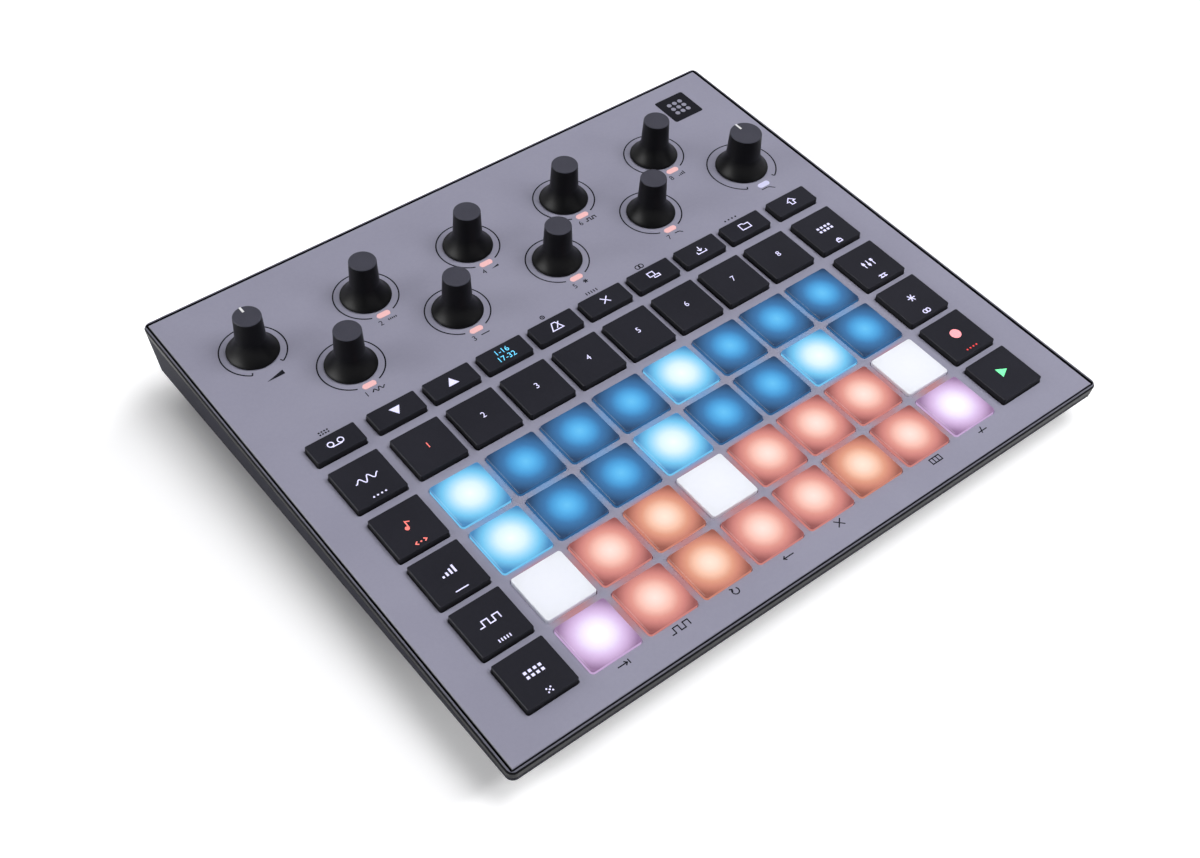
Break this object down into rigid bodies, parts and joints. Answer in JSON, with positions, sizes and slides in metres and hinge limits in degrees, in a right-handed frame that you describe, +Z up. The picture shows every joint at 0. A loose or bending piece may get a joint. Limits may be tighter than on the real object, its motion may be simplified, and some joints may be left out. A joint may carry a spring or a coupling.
{
  "type": "audio sampler",
  "caption": "Wedge-shaped table-top audio sampler with a grid of lit square pads, black keys around them, bell-skirted knobs and plug sockets along the rear.",
  "frame": {"origin": "under the middle of the object, on the table", "axes": "+X to the right across the width, +Y towards the rear sockets, +Z up"},
  "size_m": [0.241, 0.2088, 0.0453],
  "materials": {
    "base": "fine moulded grain, charcoal",
    "rim": "satin black",
    "panel": "satin lilac grey",
    "mat": "matt grey silicone",
    "board": "green solder mask",
    "encoder": "plain metal can",
    "lens": "frosted lens",
    "battery": "wrapped cell",
    "socket": "black moulding",
    "socket_shell": "plated shell",
    "foot": "matt black",
    "screw": "black plated",
    "pad_bright": "lit, white-cyan",
    "pad_blue": "lit, blue",
    "pad_white": "unlit, frosted white",
    "pad_salmon": "lit, salmon",
    "pad_orange": "lit, orange",
    "pad_pink": "lit, lavender pink",
    "key": "satin black",
    "knob": "soft-touch black",
    "button": "satin black"
  },
  "bodies": {
    "case": {"base_shell": "base", "rim_frame": "rim", "top_panel": "panel", "keypad_mat": "mat", "circuit_boards": "board", "encoder_bodies": "encoder", "indicator_lenses": "lens", "battery_pack": "battery", "audio_jacks": "socket", "mini_jacks": "socket", "data_sockets": "socket_shell", "rubber_feet": "foot", "case_screws": "screw"},
    "pad_01": {"pad_01": "pad_bright"},
    "pad_02": {"pad_02": "pad_blue"},
    "pad_03": {"pad_03": "pad_blue"},
    "pad_04": {"pad_04": "pad_blue"},
    "pad_05": {"pad_05": "pad_bright"},
    "pad_06": {"pad_06": "pad_blue"},
    "pad_07": {"pad_07": "pad_blue"},
    "pad_08": {"pad_08": "pad_blue"},
    "pad_09": {"pad_09": "pad_bright"},
    "pad_10": {"pad_10": "pad_blue"},
    "pad_11": {"pad_11": "pad_blue"},
    "pad_12": {"pad_12": "pad_bright"},
    "pad_13": {"pad_13": "pad_blue"},
    "pad_14": {"pad_14": "pad_blue"},
    "pad_15": {"pad_15": "pad_bright"},
    "pad_16": {"pad_16": "pad_blue"},
    "pad_17": {"pad_17": "pad_white"},
    "pad_18": {"pad_18": "pad_salmon"},
    "pad_19": {"pad_19": "pad_orange"},
    "pad_20": {"pad_20": "pad_white"},
    "pad_21": {"pad_21": "pad_salmon"},
    "pad_22": {"pad_22": "pad_salmon"},
    "pad_23": {"pad_23": "pad_salmon"},
    "pad_24": {"pad_24": "pad_white"},
    "pad_25": {"pad_25": "pad_pink"},
    "pad_26": {"pad_26": "pad_salmon"},
    "pad_27": {"pad_27": "pad_orange"},
    "pad_28": {"pad_28": "pad_salmon"},
    "pad_29": {"pad_29": "pad_salmon"},
    "pad_30": {"pad_30": "pad_orange"},
    "pad_31": {"pad_31": "pad_salmon"},
    "pad_32": {"pad_32": "pad_pink"},
    "track_keys": {"track_keys": "key"},
    "left_keys": {"left_keys": "key"},
    "right_keys": {"right_keys": "key"},
    "small_keys": {"small_keys": "key"},
    "macro_knob_1": {"macro_knob_1": "knob"},
    "macro_knob_2": {"macro_knob_2": "knob"},
    "macro_knob_3": {"macro_knob_3": "knob"},
    "macro_knob_4": {"macro_knob_4": "knob"},
    "macro_knob_5": {"macro_knob_5": "knob"},
    "macro_knob_6": {"macro_knob_6": "knob"},
    "macro_knob_7": {"macro_knob_7": "knob"},
    "macro_knob_8": {"macro_knob_8": "knob"},
    "volume_knob": {"volume_knob": "knob"},
    "filter_knob": {"filter_knob": "knob"},
    "power_button": {"power_button": "button"}
  },
  "joints": [
    {"name": "pad_01_press", "type": "slide", "parent": "case", "child": "pad_01", "axis": [0, 0.0741, -0.9973], "range_m": [0, 0.001], "stiffness_N_per_m": 400, "springref_m": -0.001},
    {"name": "pad_02_press", "type": "slide", "parent": "case", "child": "pad_02", "axis": [0, 0.0741, -0.9973], "range_m": [0, 0.001], "stiffness_N_per_m": 400, "springref_m": -0.001},
    {"name": "pad_03_press", "type": "slide", "parent": "case", "child": "pad_03", "axis": [0, 0.0741, -0.9973], "range_m": [0, 0.001], "stiffness_N_per_m": 400, "springref_m": -0.001},
    {"name": "pad_04_press", "type": "slide", "parent": "case", "child": "pad_04", "axis": [0, 0.0741, -0.9973], "range_m": [0, 0.001], "stiffness_N_per_m": 400, "springref_m": -0.001},
    {"name": "pad_05_press", "type": "slide", "parent": "case", "child": "pad_05", "axis": [0, 0.0741, -0.9973], "range_m": [0, 0.001], "stiffness_N_per_m": 400, "springref_m": -0.001},
    {"name": "pad_06_press", "type": "slide", "parent": "case", "child": "pad_06", "axis": [0, 0.0741, -0.9973], "range_m": [0, 0.001], "stiffness_N_per_m": 400, "springref_m": -0.001},
    {"name": "pad_07_press", "type": "slide", "parent": "case", "child": "pad_07", "axis": [0, 0.0741, -0.9973], "range_m": [0, 0.001], "stiffness_N_per_m": 400, "springref_m": -0.001},
    {"name": "pad_08_press", "type": "slide", "parent": "case", "child": "pad_08", "axis": [0, 0.0741, -0.9973], "range_m": [0, 0.001], "stiffness_N_per_m": 400, "springref_m": -0.001},
    {"name": "pad_09_press", "type": "slide", "parent": "case", "child": "pad_09", "axis": [0, 0.0741, -0.9973], "range_m": [0, 0.001], "stiffness_N_per_m": 400, "springref_m": -0.001},
    {"name": "pad_10_press", "type": "slide", "parent": "case", "child": "pad_10", "axis": [0, 0.0741, -0.9973], "range_m": [0, 0.001], "stiffness_N_per_m": 400, "springref_m": -0.001},
    {"name": "pad_11_press", "type": "slide", "parent": "case", "child": "pad_11", "axis": [0, 0.0741, -0.9973], "range_m": [0, 0.001], "stiffness_N_per_m": 400, "springref_m": -0.001},
    {"name": "pad_12_press", "type": "slide", "parent": "case", "child": "pad_12", "axis": [0, 0.0741, -0.9973], "range_m": [0, 0.001], "stiffness_N_per_m": 400, "springref_m": -0.001},
    {"name": "pad_13_press", "type": "slide", "parent": "case", "child": "pad_13", "axis": [0, 0.0741, -0.9973], "range_m": [0, 0.001], "stiffness_N_per_m": 400, "springref_m": -0.001},
    {"name": "pad_14_press", "type": "slide", "parent": "case", "child": "pad_14", "axis": [0, 0.0741, -0.9973], "range_m": [0, 0.001], "stiffness_N_per_m": 400, "springref_m": -0.001},
    {"name": "pad_15_press", "type": "slide", "parent": "case", "child": "pad_15", "axis": [0, 0.0741, -0.9973], "range_m": [0, 0.001], "stiffness_N_per_m": 400, "springref_m": -0.001},
    {"name": "pad_16_press", "type": "slide", "parent": "case", "child": "pad_16", "axis": [0, 0.0741, -0.9973], "range_m": [0, 0.001], "stiffness_N_per_m": 400, "springref_m": -0.001},
    {"name": "pad_17_press", "type": "slide", "parent": "case", "child": "pad_17", "axis": [0, 0.0741, -0.9973], "range_m": [0, 0.001], "stiffness_N_per_m": 400, "springref_m": -0.001},
    {"name": "pad_18_press", "type": "slide", "parent": "case", "child": "pad_18", "axis": [0, 0.0741, -0.9973], "range_m": [0, 0.001], "stiffness_N_per_m": 400, "springref_m": -0.001},
    {"name": "pad_19_press", "type": "slide", "parent": "case", "child": "pad_19", "axis": [0, 0.0741, -0.9973], "range_m": [0, 0.001], "stiffness_N_per_m": 400, "springref_m": -0.001},
    {"name": "pad_20_press", "type": "slide", "parent": "case", "child": "pad_20", "axis": [0, 0.0741, -0.9973], "range_m": [0, 0.001], "stiffness_N_per_m": 400, "springref_m": -0.001},
    {"name": "pad_21_press", "type": "slide", "parent": "case", "child": "pad_21", "axis": [0, 0.0741, -0.9973], "range_m": [0, 0.001], "stiffness_N_per_m": 400, "springref_m": -0.001},
    {"name": "pad_22_press", "type": "slide", "parent": "case", "child": "pad_22", "axis": [0, 0.0741, -0.9973], "range_m": [0, 0.001], "stiffness_N_per_m": 400, "springref_m": -0.001},
    {"name": "pad_23_press", "type": "slide", "parent": "case", "child": "pad_23", "axis": [0, 0.0741, -0.9973], "range_m": [0, 0.001], "stiffness_N_per_m": 400, "springref_m": -0.001},
    {"name": "pad_24_press", "type": "slide", "parent": "case", "child": "pad_24", "axis": [0, 0.0741, -0.9973], "range_m": [0, 0.001], "stiffness_N_per_m": 400, "springref_m": -0.001},
    {"name": "pad_25_press", "type": "slide", "parent": "case", "child": "pad_25", "axis": [0, 0.0741, -0.9973], "range_m": [0, 0.001], "stiffness_N_per_m": 400, "springref_m": -0.001},
    {"name": "pad_26_press", "type": "slide", "parent": "case", "child": "pad_26", "axis": [0, 0.0741, -0.9973], "range_m": [0, 0.001], "stiffness_N_per_m": 400, "springref_m": -0.001},
    {"name": "pad_27_press", "type": "slide", "parent": "case", "child": "pad_27", "axis": [0, 0.0741, -0.9973], "range_m": [0, 0.001], "stiffness_N_per_m": 400, "springref_m": -0.001},
    {"name": "pad_28_press", "type": "slide", "parent": "case", "child": "pad_28", "axis": [0, 0.0741, -0.9973], "range_m": [0, 0.001], "stiffness_N_per_m": 400, "springref_m": -0.001},
    {"name": "pad_29_press", "type": "slide", "parent": "case", "child": "pad_29", "axis": [0, 0.0741, -0.9973], "range_m": [0, 0.001], "stiffness_N_per_m": 400, "springref_m": -0.001},
    {"name": "pad_30_press", "type": "slide", "parent": "case", "child": "pad_30", "axis": [0, 0.0741, -0.9973], "range_m": [0, 0.001], "stiffness_N_per_m": 400, "springref_m": -0.001},
    {"name": "pad_31_press", "type": "slide", "parent": "case", "child": "pad_31", "axis": [0, 0.0741, -0.9973], "range_m": [0, 0.001], "stiffness_N_per_m": 400, "springref_m": -0.001},
    {"name": "pad_32_press", "type": "slide", "parent": "case", "child": "pad_32", "axis": [0, 0.0741, -0.9973], "range_m": [0, 0.001], "stiffness_N_per_m": 400, "springref_m": -0.001},
    {"name": "track_keys_press", "type": "slide", "parent": "case", "child": "track_keys", "axis": [0, 0.0741, -0.9973], "range_m": [0, 0.0012], "stiffness_N_per_m": 1200, "springref_m": -0.0012},
    {"name": "left_keys_press", "type": "slide", "parent": "case", "child": "left_keys", "axis": [0, 0.0741, -0.9973], "range_m": [0, 0.0012], "stiffness_N_per_m": 1200, "springref_m": -0.0012},
    {"name": "right_keys_press", "type": "slide", "parent": "case", "child": "right_keys", "axis": [0, 0.0741, -0.9973], "range_m": [0, 0.0012], "stiffness_N_per_m": 1200, "springref_m": -0.0012},
    {"name": "small_keys_press", "type": "slide", "parent": "case", "child": "small_keys", "axis": [0, 0.0741, -0.9973], "range_m": [0, 0.0012], "stiffness_N_per_m": 1200, "springref_m": -0.0012},
    {"name": "macro_knob_1_turn", "type": "hinge", "parent": "case", "child": "macro_knob_1", "pos_m": [-0.07406, 0.04736, 0.02698], "axis": [0, -0.0741, 0.9973], "continuous": true},
    {"name": "macro_knob_2_turn", "type": "hinge", "parent": "case", "child": "macro_knob_2", "pos_m": [-0.0529, 0.0714, 0.02876], "axis": [0, -0.0741, 0.9973], "continuous": true},
    {"name": "macro_knob_3_turn", "type": "hinge", "parent": "case", "child": "macro_knob_3", "pos_m": [-0.03174, 0.04736, 0.02698], "axis": [0, -0.0741, 0.9973], "continuous": true},
    {"name": "macro_knob_4_turn", "type": "hinge", "parent": "case", "child": "macro_knob_4", "pos_m": [-0.01058, 0.0714, 0.02876], "axis": [0, -0.0741, 0.9973], "continuous": true},
    {"name": "macro_knob_5_turn", "type": "hinge", "parent": "case", "child": "macro_knob_5", "pos_m": [0.01058, 0.04736, 0.02698], "axis": [0, -0.0741, 0.9973], "continuous": true},
    {"name": "macro_knob_6_turn", "type": "hinge", "parent": "case", "child": "macro_knob_6", "pos_m": [0.03174, 0.0714, 0.02876], "axis": [0, -0.0741, 0.9973], "continuous": true},
    {"name": "macro_knob_7_turn", "type": "hinge", "parent": "case", "child": "macro_knob_7", "pos_m": [0.0529, 0.04736, 0.02698], "axis": [0, -0.0741, 0.9973], "continuous": true},
    {"name": "macro_knob_8_turn", "type": "hinge", "parent": "case", "child": "macro_knob_8", "pos_m": [0.07406, 0.0714, 0.02876], "axis": [0, -0.0741, 0.9973], "continuous": true},
    {"name": "volume_knob_turn", "type": "hinge", "parent": "case", "child": "volume_knob", "pos_m": [-0.09662, 0.0714, 0.02876], "axis": [0, -0.0741, 0.9973], "range_deg": [-150, 150]},
    {"name": "filter_knob_turn", "type": "hinge", "parent": "case", "child": "filter_knob", "pos_m": [0.09662, 0.04736, 0.02698], "axis": [0, -0.0741, 0.9973], "range_deg": [-150, 150]},
    {"name": "power_button_press", "type": "slide", "parent": "case", "child": "power_button", "axis": [0, -1, 0], "range_m": [0, 0.0008], "stiffness_N_per_m": 900, "springref_m": -0.001}
  ]
}
